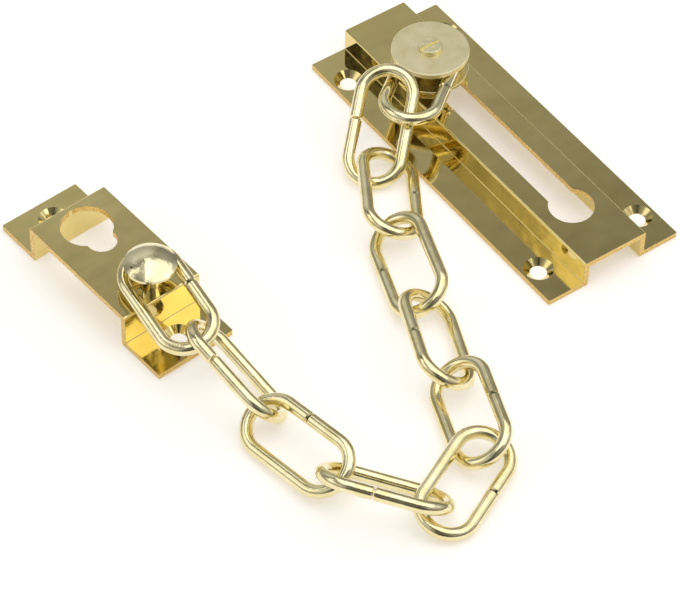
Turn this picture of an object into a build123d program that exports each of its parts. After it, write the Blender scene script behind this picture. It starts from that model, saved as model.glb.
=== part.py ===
from build123d import *
from dataclasses import dataclass
import math
import os

# A door chain lying on a table with both plates on their backs. Sizes are in millimetres.
# The origin is the middle of the slide plate's back. +Y runs along its slot, +Z points up.

# Slide plate, one folded sheet
slide_length = 100.0
slide_raised_width = 19.0
slide_flange_width = 10.5
slide_height = 8.0
slide_sheet = 1.5
fold_outer_radius = 0.5
fold_inner_radius = 0.2
plate_corner_radius = 0.3
entry_hole_radius = 5.8
entry_hole_y = -32.5
slot_width = 7.6
slot_far_y = 26.5

# Countersunk screw holes, four in the slide plate and two in the keep plate
screw_hole_radius = 2.15
countersink_radius = 3.8
countersink_angle = 98.0
slide_screw_spacing_x = 31.0
slide_screw_spacing_y = 80.0

# Runner, a spool that travels in the slot
runner_end_clearance = 0.2
runner_side_clearance = 0.1
runner_lift_clearance = 0.1
runner_disc_radius = 10.0
collar_thickness = 1.0
groove_height = 4.7
groove_neck_radius = 3.2
disc_thickness = 1.4
disc_edge_radius = 0.3
washer_radius = 5.5
washer_thickness = 1.2
washer_clearance = 0.2
spigot_radius = 2.0
spigot_head_radius = 3.0
spigot_head_height = 0.8
boss_radius = 3.0
boss_height = 1.2
boss_slot_width = 0.9
boss_slot_depth = 0.7
shank_radius = 1.5
shank_depth = 5.0
piece_clearance = 0.05

# Links, round wire bent to a long ring whose ends meet in a butt joint
wire = 3.3
link_length = 33.3
link_width = 16.7
butt_gap = 0.2
butt_edge = 0.35
table_clearance = 0.1
first_link_slack = 0.9
first_link_lift = 1.35

# Keep plate, one folded sheet
keep_raised_length = 38.0
keep_near_flange = 12.8
keep_far_flange = 12.0
keep_width = 22.5
keep_height = 10.5
keep_sheet = 1.6
keep_hole_radius = 6.6
keep_hole_y = 10.8
keep_notch_width = 7.6
keep_notch_y = 4.7
keep_screw_y = 25.0
keep_turn = 4.5

# Stud riveted in the keep plate
stud_y = -14.8
stud_neck_radius = 2.5
stud_neck_height = 7.75
stud_head_radius = 6.45
stud_rim_height = 0.7
stud_dome_height = 2.1
stud_spigot_radius = 1.5
stud_rivet_radius = 2.2
stud_rivet_height = 0.8
last_link_slack = 2.6
last_link_lift = 1.6


@dataclass
class Lay:
    """How one link lies on the table, seen along the chain from the runner.

    The heading is where its far end points, counted from +X. The dip lowers the far end and
    the roll lifts its left side, all in degrees. The lap is how far it reaches into the link
    before it, and the shift moves it to the left of the line that joins the two. The butt joint
    is on its left side (1) or right side (-1), so far along from the middle.
    """

    heading: float
    dip: float
    roll: float
    lap: float
    shift: float
    joint_side: int
    joint_along: float


link_lays = [
    Lay(-142, -4, 0, 0.0, 0.0, 1, 1.0),
    Lay(-137, 28, 3, 14.0, -6.5, -1, -1.0),
    Lay(-122, -6, -22, 9.0, 3.5, 1, -1.0),
    Lay(-110, -2, 33, 5.0, 0.0, -1, -2.0),
    Lay(-113, -4, -32, 5.0, 0.5, -1, 0.5),
    Lay(-111, -2, 31, 6.5, 2.0, 1, -0.5),
    Lay(-155, 3, -15, 8.5, 1.0, 1, -1.5),
    Lay(131, -7, 37, 6.5, -3.5, 1, 2.0),
    Lay(99, 3, -29, 4.5, -2.0, -1, 1.5),
    Lay(97, -15, 44, 5.5, -3.0, 1, 4.0),
    Lay(86, -6, -13, 5.0, 2.5, -1, 0.5),
]

# Heights and half sizes that follow from these
wire_radius = wire / 2
reach = (link_length - wire) / 2
bend_radius = (link_width - wire) / 2
straight_half = reach - bend_radius
collar_z = slide_height + runner_lift_clearance
groove_z = collar_z + collar_thickness
disc_z = groove_z + groove_height
boss_z = disc_z + disc_thickness
washer_top_z = slide_height - slide_sheet - washer_clearance
washer_z = washer_top_z - washer_thickness
runner_y = slot_far_y - runner_end_clearance
first_link_z = groove_z + first_link_lift + wire_radius
last_link_z = keep_height + last_link_lift + wire_radius


def fold_profile(plane, raised, left_flange, right_flange, height, sheet):
    """Section of a sheet folded to a flat channel with a flange on each side."""
    side = raised / 2
    left_edge = -side - left_flange
    right_edge = side + right_flange
    inside = side - sheet
    with BuildSketch(plane) as section:
        with BuildLine():
            FilletPolyline(
                (left_edge, sheet),
                (-side, sheet),
                (-side, height),
                (side, height),
                (side, sheet),
                (right_edge, sheet),
                radius=[fold_inner_radius, fold_outer_radius, fold_outer_radius, fold_inner_radius],
            )
            Line((right_edge, sheet), (right_edge, 0))
            FilletPolyline(
                (right_edge, 0),
                (inside, 0),
                (inside, height - sheet),
                (-inside, height - sheet),
                (-inside, 0),
                (left_edge, 0),
                radius=[fold_outer_radius, fold_inner_radius, fold_inner_radius, fold_outer_radius],
            )
            Line((left_edge, 0), (left_edge, sheet))
        make_face()
    return section.sketch


def rest_height(lay):
    """Height of a link's middle when its lowest wire lies on the table."""
    lean = math.sin(math.radians(lay.dip))
    tilt = math.cos(math.radians(lay.dip)) * math.sin(math.radians(lay.roll))
    drop = straight_half * abs(lean) + bend_radius * math.hypot(lean, tilt)
    return table_clearance + wire_radius + drop


def long_axis(lay):
    """Direction of a link's long axis, from the link before it to the next one."""
    heading = math.radians(lay.heading)
    dip = math.radians(lay.dip)
    return Vector(math.cos(heading) * math.cos(dip), math.sin(heading) * math.cos(dip), -math.sin(dip))


def on_plan(direction):
    """The same direction seen from above."""
    return Vector(direction.X, direction.Y, 0)


# Middle of each link: the first hangs on the runner's neck, each other one follows the one before
runner_axis_point = Vector(0, runner_y, 0)
first_hook = groove_neck_radius + wire_radius + first_link_slack
middles = [runner_axis_point + on_plan(long_axis(link_lays[0])) * (reach - first_hook)]
for before, lay in zip(link_lays, link_lays[1:]):
    line = on_plan(long_axis(before)) + on_plan(long_axis(lay))
    left = Vector(-line.Y, line.X, 0).normalized()
    middles.append(middles[-1] + line * (reach - lay.lap / 2) + left * lay.shift)
heights = [first_link_z] + [rest_height(lay) for lay in link_lays[1:-1]] + [last_link_z]
link_planes = []
for lay, middle, height in zip(link_lays, middles, heights):
    place = Location((middle.X, middle.Y, height), (lay.roll, lay.dip, lay.heading), Extrinsic.XYZ)
    link_planes.append(Plane(place))

# The stud stands inside the far bend of the last link, and the keep plate turns with the stud
last_direction = on_plan(long_axis(link_lays[-1]))
last_hook = stud_neck_radius + wire_radius + last_link_slack
stud_point = middles[-1] + last_direction * (reach - last_hook)
keep_angle = math.radians(keep_turn)
keep_along = Vector(-math.sin(keep_angle), math.cos(keep_angle), 0)
keep_across = Vector(math.cos(keep_angle), math.sin(keep_angle), 0)
keep_middle = stud_point - keep_along * stud_y
keep_plane = Plane(origin=keep_middle, x_dir=keep_across, z_dir=(0, 0, 1))
keep_section = Plane(origin=keep_middle - keep_across * keep_width / 2, x_dir=keep_along, z_dir=keep_across)

os.makedirs("parts", exist_ok=True)

# Slide plate
with BuildPart() as slide_plate:
    slide_start = Plane(origin=(0, slide_length / 2, 0), x_dir=(1, 0, 0), z_dir=(0, -1, 0))
    slide_section = fold_profile(
        slide_start, slide_raised_width, slide_flange_width, slide_flange_width, slide_height, slide_sheet
    )
    extrude(slide_section, amount=slide_length, dir=slide_start.z_dir)
    upright_edges = slide_plate.edges().filter_by(Axis.Z).group_by(Axis.X)
    fillet(upright_edges[0] + upright_edges[-1], plate_corner_radius)
    with BuildSketch(Plane.XY.offset(slide_height)):
        with Locations((0, entry_hole_y)):
            Circle(entry_hole_radius)
        with Locations((0, (entry_hole_y + slot_far_y) / 2)):
            SlotCenterToCenter(slot_far_y - entry_hole_y, slot_width, rotation=90)
    extrude(amount=-2 * slide_sheet, mode=Mode.SUBTRACT)
    with Locations(Plane.XY.offset(slide_sheet)):
        with GridLocations(slide_screw_spacing_x, slide_screw_spacing_y, 2, 2):
            CounterSinkHole(screw_hole_radius, countersink_radius, slide_sheet, countersink_angle)
slide_plate.part.label = "slide_plate"
export_step(slide_plate.part, "parts/slide_plate.step")

# Runner body: collar on the raised top, neck of the groove above it, neck in the slot below it
runner_plane = Plane(origin=runner_axis_point, x_dir=(1, 0, 0), z_dir=(0, -1, 0))
runner_axis = Axis(runner_axis_point, (0, 0, 1))
slot_neck_radius = slot_width / 2 - runner_side_clearance
with BuildPart() as runner_body:
    with BuildSketch(runner_plane):
        with BuildLine():
            Polyline(
                (0, washer_z - spigot_head_height),
                (spigot_head_radius, washer_z - spigot_head_height),
                (spigot_head_radius, washer_z),
                (spigot_radius, washer_z),
                (spigot_radius, washer_top_z),
                (slot_neck_radius, washer_top_z),
                (slot_neck_radius, collar_z),
                (runner_disc_radius, collar_z),
                (runner_disc_radius, groove_z),
                (groove_neck_radius, groove_z),
                (groove_neck_radius, disc_z),
                (shank_radius + piece_clearance, disc_z),
                (shank_radius + piece_clearance, disc_z - shank_depth),
                (0, disc_z - shank_depth),
                close=True,
            )
        make_face()
    revolve(axis=runner_axis)
    rims = runner_body.edges().filter_by(GeomType.CIRCLE).group_by(SortBy.RADIUS)[-1]
    fillet(rims, collar_thickness * 0.3)
runner_body.part.label = "runner_body"
export_step(runner_body.part, "parts/runner_body.step")

# Runner washer, riveted on the spigot under the sheet
with BuildPart() as runner_washer:
    with BuildSketch(Plane.XY.offset(washer_z)):
        with Locations((0, runner_y)):
            Circle(washer_radius)
            Circle(spigot_radius + piece_clearance, mode=Mode.SUBTRACT)
    extrude(amount=washer_thickness)
runner_washer.part.label = "runner_washer"
export_step(runner_washer.part, "parts/runner_washer.step")

# Runner top disc
with BuildPart() as runner_disc:
    with BuildSketch(Plane.XY.offset(disc_z)):
        with Locations((0, runner_y)):
            Circle(runner_disc_radius)
            Circle(shank_radius + piece_clearance, mode=Mode.SUBTRACT)
    extrude(amount=disc_thickness)
    disc_rims = runner_disc.edges().filter_by(GeomType.CIRCLE).group_by(SortBy.RADIUS)[-1]
    fillet(disc_rims, disc_edge_radius)
runner_disc.part.label = "runner_disc"
export_step(runner_disc.part, "parts/runner_disc.step")

# Runner screw with its slotted boss
with BuildPart() as runner_screw:
    with BuildSketch(runner_plane):
        with BuildLine():
            Polyline(
                (0, disc_z - shank_depth + piece_clearance),
                (shank_radius, disc_z - shank_depth + piece_clearance),
                (shank_radius, boss_z),
                (boss_radius, boss_z),
                (boss_radius, boss_z + boss_height),
                (0, boss_z + boss_height),
                close=True,
            )
        make_face()
    revolve(axis=runner_axis)
    boss_rim = runner_screw.faces().sort_by(Axis.Z)[-1].edges()
    fillet(boss_rim, boss_height * 0.2)
    with BuildSketch(Plane.XY.offset(boss_z + boss_height)):
        with Locations((0, runner_y)):
            Rectangle(2 * boss_radius, boss_slot_width)
    extrude(amount=-boss_slot_depth, mode=Mode.SUBTRACT)
runner_screw.part.label = "runner_screw"
export_step(runner_screw.part, "parts/runner_screw.step")

# Links: the wire is swept from one cut end, round both bends, to the other cut end
for number, (lay, plane) in enumerate(zip(link_lays, link_planes), start=1):
    joint_y = lay.joint_side * bend_radius
    turn = -180 * lay.joint_side
    with BuildPart() as link:
        with BuildLine(plane) as wire_line:
            Line((lay.joint_along + butt_gap / 2, joint_y), (straight_half, joint_y))
            JernArc(start=(straight_half, joint_y), tangent=(1, 0), radius=bend_radius, arc_size=turn)
            Line((straight_half, -joint_y), (-straight_half, -joint_y))
            JernArc(start=(-straight_half, -joint_y), tangent=(-1, 0), radius=bend_radius, arc_size=turn)
            Line((-straight_half, joint_y), (lay.joint_along - butt_gap / 2, joint_y))
        with BuildSketch(Plane(wire_line.line @ 0, z_dir=wire_line.line % 0)):
            Circle(wire_radius)
        sweep(path=wire_line.line)
        cut_ends = link.faces().filter_by(GeomType.PLANE).edges()
        chamfer(cut_ends, butt_edge)
    link.part.label = f"link_{number:02d}"
    export_step(link.part, f"parts/link_{number:02d}.step")

# Keep plate, folded the same way, with its keyhole and notch
with BuildPart() as keep_plate:
    keep_profile = fold_profile(
        keep_section, keep_raised_length, keep_near_flange, keep_far_flange, keep_height, keep_sheet
    )
    extrude(keep_profile, amount=keep_width, dir=keep_section.z_dir)
    upright_edges = keep_plate.edges().filter_by(Axis.Z).group_by(Axis(keep_middle, keep_along))
    fillet(upright_edges[0] + upright_edges[-1], plate_corner_radius)
    with BuildSketch(keep_plane.offset(keep_height)):
        with Locations((0, keep_hole_y)):
            Circle(keep_hole_radius)
        with Locations((0, (keep_hole_y + keep_notch_y) / 2)):
            SlotCenterToCenter(keep_hole_y - keep_notch_y, keep_notch_width, rotation=90)
        with Locations((0, stud_y)):
            Circle(stud_spigot_radius + piece_clearance)
    extrude(amount=-2 * keep_sheet, mode=Mode.SUBTRACT)
    with Locations(keep_plane.offset(keep_sheet)):
        with Locations((0, keep_screw_y), (0, -keep_screw_y)):
            CounterSinkHole(screw_hole_radius, countersink_radius, keep_sheet, countersink_angle)
keep_plate.part.label = "keep_plate"
export_step(keep_plate.part, "parts/keep_plate.step")

# Stud: domed head, neck, and the end riveted over under the keep plate's raised top
stud_plane = Plane(origin=stud_point, x_dir=keep_across, z_dir=-keep_along)
stud_head_z = keep_height + stud_neck_height
stud_rim_z = stud_head_z + stud_rim_height
rivet_z = keep_height - keep_sheet
with BuildPart() as keep_stud:
    with BuildSketch(stud_plane):
        with BuildLine():
            Polyline(
                (0, stud_rim_z + stud_dome_height),
                (0, rivet_z - stud_rivet_height),
                (stud_rivet_radius, rivet_z - stud_rivet_height),
                (stud_rivet_radius, rivet_z),
                (stud_spigot_radius, rivet_z),
                (stud_spigot_radius, keep_height),
                (stud_neck_radius, keep_height),
                (stud_neck_radius, stud_head_z),
                (stud_head_radius, stud_head_z),
                (stud_head_radius, stud_rim_z),
            )
            sphere_radius = (stud_head_radius**2 + stud_dome_height**2) / (2 * stud_dome_height)
            RadiusArc((stud_head_radius, stud_rim_z), (0, stud_rim_z + stud_dome_height), -sphere_radius)
        make_face()
    revolve(axis=Axis(stud_point, (0, 0, 1)))
keep_stud.part.label = "keep_stud"
export_step(keep_stud.part, "parts/keep_stud.step")
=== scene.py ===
import logging
import math
from dataclasses import dataclass
from enum import Enum

import bpy
from mathutils import Matrix, Vector

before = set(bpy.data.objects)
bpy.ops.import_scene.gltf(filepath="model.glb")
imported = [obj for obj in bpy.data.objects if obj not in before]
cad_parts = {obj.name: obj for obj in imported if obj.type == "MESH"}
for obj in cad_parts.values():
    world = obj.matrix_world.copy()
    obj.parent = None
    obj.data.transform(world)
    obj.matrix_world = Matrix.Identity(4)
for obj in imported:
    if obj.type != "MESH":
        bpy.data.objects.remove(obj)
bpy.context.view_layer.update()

log = logging.getLogger("door_chain")
MM = 0.001
Colour = tuple[float, float, float, float]
Stops = tuple[tuple[float, Colour], ...]
Tree = bpy.types.NodeTree
Socket = bpy.types.NodeSocket


def linear(hex_colour: str) -> Colour:
    """Turns an sRGB hex colour into linear RGBA.

    Args:
        hex_colour: Six hex digits, such as "D8B25A".

    Returns:
        Linear red, green and blue, with alpha 1.
    """
    values = [int(hex_colour[i : i + 2], 16) / 255 for i in (0, 2, 4)]
    red, green, blue = [
        v / 12.92 if v <= 0.04045 else ((v + 0.055) / 1.055) ** 2.4 for v in values
    ]
    return red, green, blue, 1.0


def add_node(
    tree: Tree,
    kind: str,
    settings: dict[str, object] | None = None,
    inputs: dict[str | int, object] | None = None,
) -> bpy.types.Node:
    """Adds one shader node with its settings and links.

    Args:
        tree: Node tree that gets the node.
        kind: Node type after "ShaderNode", such as "TexNoise".
        settings: Properties of the node.
        inputs: Socket name or number to a value or to the output socket that feeds it.

    Returns:
        The new node.
    """
    node = tree.nodes.new("ShaderNode" + kind)
    for name, value in (settings or {}).items():
        setattr(node, name, value)
    for socket, value in (inputs or {}).items():
        if isinstance(value, Socket):
            tree.links.new(value, node.inputs[socket])
        else:
            node.inputs[socket].default_value = value
    return node


def set_stops(ramp: bpy.types.Node, stops: Stops) -> None:
    """Fills a colour ramp.

    Args:
        ramp: The colour ramp node.
        stops: Positions with their linear colours.
    """
    elements = ramp.color_ramp.elements
    while len(elements) < len(stops):
        elements.new(0.5)
    for element, (position, colour) in zip(elements, stops):
        element.position = position
        element.color = colour


def new_tree(name: str) -> tuple[bpy.types.Material, Tree]:
    """Makes an empty node material.

    Args:
        name: Name of the material.

    Returns:
        The material and its node tree.
    """
    material = bpy.data.materials.new(name)
    material.use_nodes = True
    material.node_tree.nodes.clear()
    return material, material.node_tree


class Rolling(Enum):
    """Which way a sheet's rolling lines run, as how many noise patches a metre holds each way."""

    ALONG = (2400.0, 40.0, 2400.0)
    ACROSS = (40.0, 2400.0, 2400.0)


@dataclass(frozen=True)
class Outline:
    """A rectangle on a plate, in millimetres from the plate's middle."""

    middle: tuple[float, float]
    half: tuple[float, float]

    def reach(self, tree: Tree, point: Socket) -> Socket:
        """Adds nodes that give how far a point is from the middle, 1 at the outline.

        Args:
            tree: Node tree that gets the nodes.
            point: Place on the plate, in metres from its middle.

        Returns:
            The output socket with the reach.
        """
        place = {"Location": (self.middle[0] * MM, self.middle[1] * MM, 0)}
        size = {"Scale": (self.half[0] * MM, self.half[1] * MM, 1)}
        local = {0: point, **place, **size}
        scaled = add_node(tree, "Mapping", {"vector_type": "TEXTURE"}, local)
        sides = add_node(tree, "VectorMath", {"operation": "ABSOLUTE"}, {0: scaled.outputs[0]})
        parts = add_node(tree, "SeparateXYZ", None, {0: sides.outputs[0]}).outputs
        larger = add_node(tree, "Math", {"operation": "MAXIMUM"}, {0: parts[0], 1: parts[1]})
        return larger.outputs[0]


@dataclass(frozen=True)
class PlatedSheet:
    """Brass plated and polished steel sheet, punched and folded.

    The eye sees a near mirror of olive gold with faint clouds and rolling lines. Where the sheet
    was cut, at its ends and in its slot, the plating lies on a torn edge and looks warm and dull.
    """

    name: str
    middle: tuple[float, float]
    sheet: Outline
    hole: Outline
    turn_deg: float = 0.0
    rolling: Rolling = Rolling.ALONG
    colour: str = "E9D896"
    cloud: str = "DFCC88"
    cut_colour: str = "EBCF84"
    torn_colour: str = "C09A50"
    roughness: float = 0.07
    # The specks' roughness goes this far below and above the sheet's
    shine: float = 0.02
    dulling: float = 0.05
    cut_roughness: float = 0.28
    # A face whose normal rises less than this stands upright
    upright_limit: float = 0.3

    def material(self) -> bpy.types.Material:
        """Builds the node material.

        Returns:
            The material.
        """
        material, tree = new_tree(self.name)
        coordinates = add_node(tree, "TexCoord").outputs
        place = {"Location": (self.middle[0] * MM, self.middle[1] * MM, 0)}
        turn = {"Rotation": (0, 0, math.radians(self.turn_deg))}
        local = {0: coordinates["Object"], **place, **turn}
        point = add_node(tree, "Mapping", {"vector_type": "TEXTURE"}, local).outputs[0]
        finishes = {
            0: self.cut_faces(tree, point, coordinates["Normal"]),
            1: self.polished(tree, point),
            2: self.torn(tree, point),
        }
        both = add_node(tree, "MixShader", None, finishes)
        add_node(tree, "OutputMaterial", None, {"Surface": both.outputs[0]})
        return material

    def polished(self, tree: Tree, point: Socket) -> Socket:
        """Adds the nodes of the polished faces.

        Args:
            tree: Node tree that gets the nodes.
            point: Place on the plate, in metres from its middle.

        Returns:
            The shader's output socket.
        """
        # Clouds of thicker plating, about 18 mm across
        clouds = add_node(tree, "TexNoise", None, {"Vector": point, "Scale": 55.0, "Detail": 3.0})
        tone = add_node(tree, "ValToRGB", None, {0: clouds.outputs[0]})
        set_stops(tone, ((0.35, linear(self.cloud)), (0.65, linear(self.colour))))
        # Specks and wiped marks of about 1.5 mm dull the polish a little
        flecks = {"Scale": 650.0, "Detail": 4.0, "Roughness": 0.7}
        specks = add_node(tree, "TexNoise", None, {"Vector": point, **flecks})
        spread = {
            "From Min": 0.35,
            "From Max": 0.75,
            "To Min": self.roughness - self.shine,
            "To Max": self.roughness + self.dulling,
        }
        dull = add_node(tree, "MapRange", None, {"Value": specks.outputs[0], **spread})
        # Rolled and plated sheet is never quite flat: waves of about 7 mm
        waves = add_node(tree, "TexNoise", None, {"Vector": point, "Scale": 140.0, "Detail": 1.0})
        swell = {"Strength": 0.08, "Distance": 0.6 * MM}
        low = add_node(tree, "Bump", None, {"Height": waves.outputs[0], **swell})
        # Rolling lines, about 0.4 mm apart and 25 mm long, drawn as coarse as shows
        drawn = add_node(tree, "Mapping", None, {0: point, "Scale": self.rolling.value})
        fibres = {"Scale": 1.0, "Detail": 2.0}
        lines = add_node(tree, "TexNoise", None, {"Vector": drawn.outputs[0], **fibres})
        depth = {"Normal": low.outputs[0], "Strength": 0.06, "Distance": 0.05 * MM}
        fine = add_node(tree, "Bump", None, {"Height": lines.outputs[0], **depth})
        mirror = {
            "Metallic": 1.0,
            "Base Color": tone.outputs[0],
            "Roughness": dull.outputs[0],
            "Normal": fine.outputs[0],
        }
        return add_node(tree, "BsdfPrincipled", None, mirror).outputs[0]

    def torn(self, tree: Tree, point: Socket) -> Socket:
        """Adds the nodes of the torn part of a cut edge.

        Args:
            tree: Node tree that gets the nodes.
            point: Place on the plate, in metres from its middle.

        Returns:
            The shader's output socket.
        """
        # Torn grains of about 0.5 mm
        rough = {"Scale": 1800.0, "Detail": 4.0, "Roughness": 0.7}
        grains = add_node(tree, "TexNoise", None, {"Vector": point, **rough})
        depth = {"Strength": 0.5, "Distance": 0.15 * MM}
        bump = add_node(tree, "Bump", None, {"Height": grains.outputs[0], **depth})
        warm = add_node(tree, "ValToRGB", None, {0: grains.outputs[0]})
        set_stops(warm, ((0.35, linear(self.torn_colour)), (0.6, linear(self.cut_colour))))
        edge = {
            "Metallic": 1.0,
            "Base Color": warm.outputs[0],
            "Roughness": self.cut_roughness,
            "Normal": bump.outputs[0],
        }
        return add_node(tree, "BsdfPrincipled", None, edge).outputs[0]

    def cut_faces(self, tree: Tree, point: Socket, normal: Socket) -> Socket:
        """Adds nodes that find the upright faces at the sheet's ends and in its hole.

        Args:
            tree: Node tree that gets the nodes.
            point: Place on the plate, in metres from its middle.
            normal: Direction that the face looks in.

        Returns:
            The output socket, 1 on a cut edge and 0 elsewhere.
        """
        past_end = {0: self.sheet.reach(tree, point), 1: 1.0}
        ends = add_node(tree, "Math", {"operation": "GREATER_THAN"}, past_end).outputs[0]
        in_hole = {0: self.hole.reach(tree, point), 1: 1.0}
        walls = add_node(tree, "Math", {"operation": "LESS_THAN"}, in_hole).outputs[0]
        either = add_node(tree, "Math", {"operation": "MAXIMUM"}, {0: ends, 1: walls}).outputs[0]
        looks = add_node(tree, "VectorMath", {"operation": "ABSOLUTE"}, {0: normal})
        rise = add_node(tree, "SeparateXYZ", None, {0: looks.outputs[0]}).outputs[2]
        low = {0: rise, 1: self.upright_limit}
        upright = add_node(tree, "Math", {"operation": "LESS_THAN"}, low).outputs[0]
        cut = add_node(tree, "Math", {"operation": "MULTIPLY"}, {0: either, 1: upright})
        return cut.outputs[0]


@dataclass(frozen=True)
class TurnedBrass:
    """Brass turned on a lathe, then plated and tumbled.

    The eye sees a pale, soft mirror with faint rings about the turning axis and a few rub marks.
    """

    name: str
    centre: tuple[float, float]
    colour: str = "EFE3B2"
    shade: str = "E3D396"
    roughness: float = 0.26
    marks: float = 0.08
    # The rub marks' roughness goes this far below and above the metal's
    shine: float = 0.04
    dulling: float = 0.05

    def material(self) -> bpy.types.Material:
        """Builds the node material.

        Returns:
            The material.
        """
        material, tree = new_tree(self.name)
        place = add_node(tree, "TexCoord").outputs["Object"]
        axis = {"Location": (self.centre[0] * MM, self.centre[1] * MM, 0)}
        local = {0: place, **axis}
        point = add_node(tree, "Mapping", {"vector_type": "TEXTURE"}, local).outputs[0]
        # Rub marks of 3 to 5 mm from the tumbling barrel
        tumbled = {"Scale": 260.0, "Detail": 4.0, "Roughness": 0.6}
        rubs = add_node(tree, "TexNoise", None, {"Vector": point, **tumbled})
        tone = add_node(tree, "ValToRGB", None, {0: rubs.outputs[0]})
        set_stops(tone, ((0.35, linear(self.shade)), (0.7, linear(self.colour))))
        spread = {
            "From Min": 0.3,
            "From Max": 0.7,
            "To Min": self.roughness - self.shine,
            "To Max": self.roughness + self.dulling,
        }
        rough = add_node(tree, "MapRange", None, {"Value": rubs.outputs[0], **spread})
        dented = {"Strength": self.marks, "Distance": 0.6 * MM}
        dents = add_node(tree, "Bump", None, {"Height": rubs.outputs[0], **dented})
        # Tool rings about 2 mm apart, drawn far coarser than the real ones so that they show
        shape = {"wave_type": "RINGS", "rings_direction": "Z", "wave_profile": "SIN"}
        feed = {"Scale": 145.0, "Distortion": 0.6, "Detail": 2.0, "Detail Scale": 2.0}
        rings = add_node(tree, "TexWave", shape, {"Vector": point, **feed})
        depth = {"Normal": dents.outputs[0], "Strength": 0.08, "Distance": 0.04 * MM}
        bump = add_node(tree, "Bump", None, {"Height": rings.outputs[1], **depth})
        metal = {
            "Metallic": 1.0,
            "Base Color": tone.outputs[0],
            "Roughness": rough.outputs[0],
            "Normal": bump.outputs[0],
        }
        shader = add_node(tree, "BsdfPrincipled", None, metal)
        add_node(tree, "OutputMaterial", None, {"Surface": shader.outputs[0]})
        return material


@dataclass(frozen=True)
class PlatedWire:
    """Drawn steel wire, bent to links, then barrel plated with brass and lacquered.

    The eye sees pale brass, a bright mirror with sharp dark bands whose borders are frayed by the
    grain of the drawn wire, and small flats where the links knocked together.
    """

    name: str = "brass_plated_wire"
    colour: str = "F2E8BC"
    shade: str = "E6D8A0"
    roughness: float = 0.1
    # The knocks' roughness goes this far below and above the wire's
    shine: float = 0.03
    dulling: float = 0.07
    lacquer: float = 0.5
    lacquer_roughness: float = 0.08

    def material(self) -> bpy.types.Material:
        """Builds the node material.

        Returns:
            The material.
        """
        material, tree = new_tree(self.name)
        place = add_node(tree, "TexCoord").outputs["Object"]
        # Knocks and rub marks about 4 mm across
        knocks = add_node(tree, "TexNoise", None, {"Vector": place, "Scale": 240.0, "Detail": 3.0})
        tone = add_node(tree, "ValToRGB", None, {0: knocks.outputs[0]})
        set_stops(tone, ((0.35, linear(self.shade)), (0.65, linear(self.colour))))
        spread = {
            "From Min": 0.3,
            "From Max": 0.7,
            "To Min": self.roughness - self.shine,
            "To Max": self.roughness + self.dulling,
        }
        rough = add_node(tree, "MapRange", None, {"Value": knocks.outputs[0], **spread})
        flats = {"Strength": 0.12, "Distance": 0.6 * MM}
        low = add_node(tree, "Bump", None, {"Height": knocks.outputs[0], **flats})
        # Grain of the drawn wire, about 0.5 mm, drawn coarser than the real one so that it shows
        drawn = {"Scale": 2000.0, "Detail": 3.0, "Roughness": 0.6}
        grain = add_node(tree, "TexNoise", None, {"Vector": place, **drawn})
        depth = {"Normal": low.outputs[0], "Strength": 0.18, "Distance": 0.12 * MM}
        bump = add_node(tree, "Bump", None, {"Height": grain.outputs[0], **depth})
        metal = {
            "Metallic": 1.0,
            "Base Color": tone.outputs[0],
            "Roughness": rough.outputs[0],
            "Normal": bump.outputs[0],
            "Coat Weight": self.lacquer,
            "Coat Roughness": self.lacquer_roughness,
        }
        shader = add_node(tree, "BsdfPrincipled", None, metal)
        add_node(tree, "OutputMaterial", None, {"Surface": shader.outputs[0]})
        return material


def dress(node: str, material: bpy.types.Material) -> None:
    """Gives a CAD node its material.

    Args:
        node: Name of the CAD node.
        material: Material for all of its slots.
    """
    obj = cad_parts[node]
    if not obj.material_slots:
        obj.data.materials.append(material)
    for slot in obj.material_slots:
        slot.material = material
    log.info("%s: %s", node, material.name)


@dataclass
class SlidePlate:
    """The folded plate with the slot, which is screwed to the door. Sizes in millimetres."""

    length: float = 100.0
    width: float = 40.0
    slot_half_width: float = 6.2
    # Upright faces this far inside the outline, or beyond it, are cut edges
    margin: float = 0.1

    def build(self) -> None:
        """Dresses the plate."""
        half_width, half_length = self.width / 2, self.length / 2
        sheet = Outline((0.0, 0.0), (half_width - self.margin, half_length - self.margin))
        slot = Outline((0.0, 0.0), (self.slot_half_width, half_length))
        finish = PlatedSheet("brass_plated_slide_sheet", (0.0, 0.0), sheet, slot)
        dress("slide_plate", finish.material())


@dataclass
class Runner:
    """The turned spool that travels in the slot. Sizes in millimetres."""

    centre: tuple[float, float] = (0.0, 26.3)

    def build(self) -> None:
        """Dresses the runner's four pieces."""
        spool = TurnedBrass("brass_turned_runner", self.centre).material()
        for node in ("runner_body", "runner_washer"):
            dress(node, spool)
        satin = TurnedBrass("brass_satin_disc", self.centre, "F6ECC4", "EFE2B0", roughness=0.4)
        dress("runner_disc", satin.material())
        uneven = TurnedBrass(
            "brass_turned_screw", self.centre, "F8F0CC", "F0E4B4", roughness=0.36, marks=0.6
        )
        dress("runner_screw", uneven.material())


@dataclass
class Chain:
    """Eleven round wire links."""

    count: int = 11

    def build(self) -> None:
        """Dresses the links."""
        wire = PlatedWire().material()
        for number in range(1, self.count + 1):
            dress(f"link_{number:02d}", wire)


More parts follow.
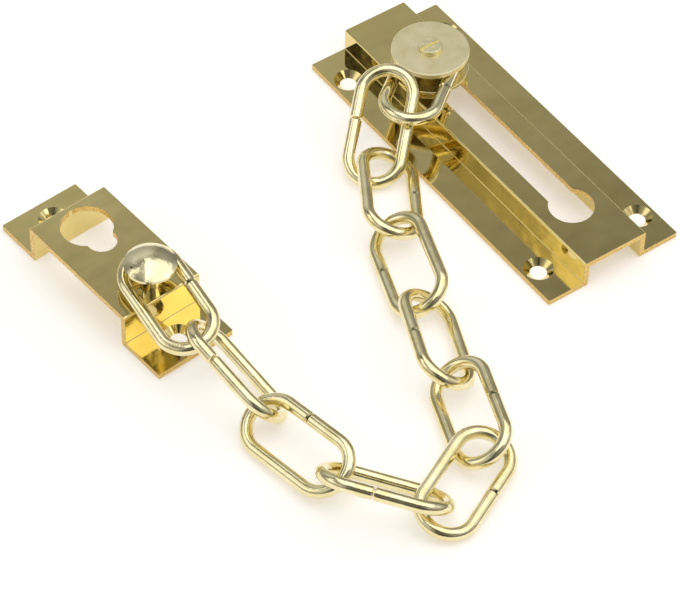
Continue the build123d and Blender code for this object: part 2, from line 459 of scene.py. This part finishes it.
@dataclass
class Keep:
    """The small folded plate with its stud, screwed to the door frame. Sizes in millimetres."""

    middle: tuple[float, float] = (-101.98, 16.77)
    turn_deg: float = 4.5
    near_end: float = -31.8
    far_end: float = 31.0
    width: float = 22.5
    # Upright faces this far inside the sides and ends, or beyond them, are cut edges
    side_margin: float = 0.05
    end_margin: float = 0.1
    keyhole: Outline = Outline((0.0, 9.0), (7.0, 8.38))
    stud: tuple[float, float] = (-100.82, 2.02)

    def build(self) -> None:
        """Dresses the plate and the stud."""
        middle_y = (self.near_end + self.far_end) / 2
        half_length = (self.far_end - self.near_end) / 2
        half = (self.width / 2 - self.side_margin, half_length - self.end_margin)
        finish = PlatedSheet(
            "brass_plated_keep_sheet",
            self.middle,
            Outline((0.0, middle_y), half),
            self.keyhole,
            self.turn_deg,
            Rolling.ACROSS,
        )
        dress("keep_plate", finish.material())
        rivet = TurnedBrass(
            "brass_turned_stud", self.stud, "F4ECC6", "EADFB0", roughness=0.14, marks=0.3
        )
        dress("keep_stud", rivet.material())


@dataclass(frozen=True)
class PhotoCamera:
    """The camera of the photograph, found from the plate's corners and the links."""

    target: tuple[float, float, float] = (-61.6 * MM, -21.0 * MM, 0.0)
    distance: float = 813 * MM
    azimuth_deg: float = 36.34
    elevation_deg: float = 48.17
    roll_deg: float = 1.18
    focal_px: float = 3352.0
    image_width_px: float = 680.0
    sensor_mm: float = 36.0
    nearest: float = 0.01
    furthest: float = 20.0

    def build(self) -> None:
        """Makes the camera and sets it as the scene's own."""
        degrees = (self.azimuth_deg, self.elevation_deg, self.roll_deg)
        azimuth, elevation, roll = (math.radians(angle) for angle in degrees)
        flat, fall = math.cos(elevation), math.sin(elevation)
        forward = Vector((math.sin(azimuth) * flat, math.cos(azimuth) * flat, -fall))
        right = Vector((math.cos(azimuth), -math.sin(azimuth), 0.0))
        up = right.cross(forward)
        leaned_right = right * math.cos(roll) + up * math.sin(roll)
        leaned_up = up * math.cos(roll) - right * math.sin(roll)
        data = bpy.data.cameras.new("photo_camera")
        data.sensor_width = self.sensor_mm
        data.lens = self.focal_px / self.image_width_px * self.sensor_mm
        data.clip_start, data.clip_end = self.nearest, self.furthest
        camera = bpy.data.objects.new("photo_camera", data)
        bpy.context.scene.collection.objects.link(camera)
        place = Matrix.Translation(Vector(self.target) - forward * self.distance)
        rotation = Matrix((leaned_right, leaned_up, -forward)).transposed().to_4x4()
        camera.matrix_world = place @ rotation
        bpy.context.scene.camera = camera


@dataclass(frozen=True)
class Softbox:
    """One rectangular soft light, in metres, with its brightness as seen in a mirror."""

    name: str
    place: tuple[float, float, float]
    size: tuple[float, float]
    brightness: float
    aim: tuple[float, float, float] | None = None
    turn_deg: float = 0.0

    def build(self) -> None:
        """Makes the area light."""
        data = bpy.data.lights.new(self.name, "AREA")
        data.shape = "RECTANGLE"
        data.size, data.size_y = self.size
        data.energy = self.brightness * math.pi * self.size[0] * self.size[1]
        light = bpy.data.objects.new(self.name, data)
        light.location = self.place
        light.rotation_euler = (0.0, 0.0, math.radians(self.turn_deg))
        if self.aim:
            direction = Vector(self.aim) - Vector(self.place)
            light.rotation_euler = direction.to_track_quat("-Z", "Y").to_euler()
        bpy.context.scene.collection.objects.link(light)


@dataclass(frozen=True)
class Patch:
    """A round place in the tent's wall, darker or brighter than the rest, soft at its border."""

    azimuth_deg: float
    elevation_deg: float
    inner_deg: float
    outer_deg: float
    share: float

    def shade(self, tree: Tree, direction: Socket) -> Socket:
        """Adds nodes that give the share of the wall's light in each direction.

        Args:
            tree: Node tree that gets the nodes.
            direction: Direction seen from the object.

        Returns:
            The output socket, 1 outside the patch.
        """
        azimuth, elevation = math.radians(self.azimuth_deg), math.radians(self.elevation_deg)
        flat = math.cos(elevation)
        middle = (math.cos(azimuth) * flat, math.sin(azimuth) * flat, math.sin(elevation))
        facing = {"operation": "DOT_PRODUCT"}
        near = add_node(tree, "VectorMath", facing, {0: direction, 1: middle}).outputs["Value"]
        border = {
            "From Min": math.cos(math.radians(self.outer_deg)),
            "From Max": math.cos(math.radians(self.inner_deg)),
            "To Min": 1.0,
            "To Max": self.share,
        }
        return add_node(tree, "MapRange", None, {"Value": near, **border}).outputs[0]


@dataclass
class Studio:
    """A white table in a grey tent, with soft lights above and beside it."""

    floor_size: float = 6.0
    floor_z: float = -0.05 * MM
    floor_lift: float = 0.4
    floor_colour: str = "F4F3F1"
    # Warm: painted bounce light, the glow's tint stands in for the light that brass bounces onto
    # the table in its shadow
    lift_and_bounce_colour: str = "FFF7EE"
    boxes: tuple[Softbox, ...] = (
        Softbox("overhead_softbox", (0.273, -0.136, 0.9), (1.25, 1.16), 1.1, turn_deg=-36.3),
        Softbox("right_softbox", (0.26, -0.5, 0.68), (0.34, 0.34), 0.3, aim=(-0.1, -0.01, 0.0)),
        Softbox("left_softbox", (-0.458, 0.361, 0.68), (0.15, 0.3), 0.9, aim=(-0.01, -0.05, 0.0)),
    )
    # Brightness of the tent's wall by the sine of the height, from the table to the top
    wall: tuple[tuple[float, float], ...] = (
        (0.0, 0.28),
        (0.34, 0.45),
        (0.57, 0.6),
        (0.69, 0.53),
        (0.735, 0.4),
        (0.77, 0.26),
        (0.84, 0.22),
        (1.0, 0.7),
    )
    # The wall is brighter on the side of this azimuth. Its share of the light rises from the first
    # to the second number over this range of the cosine of the angle from there
    bright_side_deg: float = 136.0
    side_shares: tuple[float, float] = (0.6, 1.18)
    side_cosines: tuple[float, float] = (0.0, 0.2)
    patches: tuple[Patch, ...] = (
        # The dim room behind the camera, and the camera itself
        Patch(-126.3, 22.0, 14.0, 32.0, 0.35),
        Patch(-126.3, 48.0, 3.5, 5.0, 0.1),
        # A gap in the tent's left corner
        Patch(119.5, 42.5, 6.0, 7.5, 0.03),
        # The lit sides, right and left
        Patch(-45.0, 35.0, 14.0, 28.0, 1.9),
        Patch(155.0, 32.0, 10.0, 22.0, 1.9),
        # A dim place below the gap, and more light ahead on the right
        Patch(118.0, 27.0, 8.0, 18.0, 0.5),
        Patch(-15.0, 22.0, 12.0, 24.0, 1.8),
    )

    def build(self) -> None:
        """Makes the floor, the world and the lights."""
        bpy.ops.object.select_all(action="DESELECT")
        bpy.ops.mesh.primitive_plane_add(size=self.floor_size, location=(0, 0, self.floor_z))
        floor = bpy.context.object
        floor.name = "white_table"
        floor.data.transform(floor.matrix_world)
        floor.matrix_world = Matrix.Identity(4)
        floor.data.materials.append(self.table_top())
        self.hang_tent()
        for box in self.boxes:
            box.build()
        bpy.context.scene.view_settings.view_transform = "Standard"

    def table_top(self) -> bpy.types.Material:
        """White laminate table top, lifted to pure white for the camera and in reflections.

        Returns:
            The material.
        """
        material, tree = new_tree("white_table_top")
        diffuse = add_node(tree, "BsdfDiffuse", None, {"Color": linear(self.floor_colour)})
        rays = add_node(tree, "LightPath").outputs
        larger = {"operation": "MAXIMUM"}
        either = {0: rays["Is Camera Ray"], 1: rays["Is Glossy Ray"]}
        seen = add_node(tree, "Math", larger, either).outputs[0]
        seen = add_node(tree, "Math", larger, {0: seen, 1: rays["Is Transmission Ray"]}).outputs[0]
        lift = add_node(tree, "Math", {"operation": "MULTIPLY"}, {0: seen, 1: self.floor_lift})
        # The glow's warm tint is painted bounce light, which shows where the table lies in shadow
        light = {"Color": linear(self.lift_and_bounce_colour), "Strength": lift.outputs[0]}
        glow = add_node(tree, "Emission", None, light)
        both = add_node(tree, "AddShader", None, {0: diffuse.outputs[0], 1: glow.outputs[0]})
        add_node(tree, "OutputMaterial", None, {"Surface": both.outputs[0]})
        return material

    def hang_tent(self) -> None:
        """Lights the world as a grey tent with the wall's levels, its bright side and patches."""
        world = bpy.data.worlds.new("tent")
        bpy.context.scene.world = world
        world.use_nodes = True
        tree = world.node_tree
        tree.nodes.clear()
        direction = add_node(tree, "TexCoord").outputs["Generated"]
        height = add_node(tree, "SeparateXYZ", None, {0: direction}).outputs[2]
        ramp = add_node(tree, "ValToRGB", None, {0: height})
        set_stops(ramp, tuple((position, (grey, grey, grey, 1.0)) for position, grey in self.wall))
        side = math.radians(self.bright_side_deg)
        towards = {0: direction, 1: (math.cos(side), math.sin(side), 0)}
        near = add_node(tree, "VectorMath", {"operation": "DOT_PRODUCT"}, towards).outputs["Value"]
        fall = {
            "From Min": self.side_cosines[0],
            "From Max": self.side_cosines[1],
            "To Min": self.side_shares[0],
            "To Max": self.side_shares[1],
        }
        level = add_node(tree, "MapRange", None, {"Value": near, **fall}).outputs[0]
        for patch in self.patches:
            shares = {0: level, 1: patch.shade(tree, direction)}
            level = add_node(tree, "Math", {"operation": "MULTIPLY"}, shares).outputs[0]
        lit = {"Color": ramp.outputs[0], "Strength": level}
        background = add_node(tree, "Background", None, lit)
        add_node(tree, "OutputWorld", None, {"Surface": background.outputs[0]})


def main() -> None:
    """Builds the door chain's pieces in order, then the camera and the studio."""
    logging.basicConfig(level=logging.INFO, format="%(name)s %(message)s")
    for part in (SlidePlate(), Runner(), Chain(), Keep()):
        part.build()
        log.info("%s built", type(part).__name__)
    PhotoCamera().build()
    Studio().build()


if __name__ == "__main__":
    main()
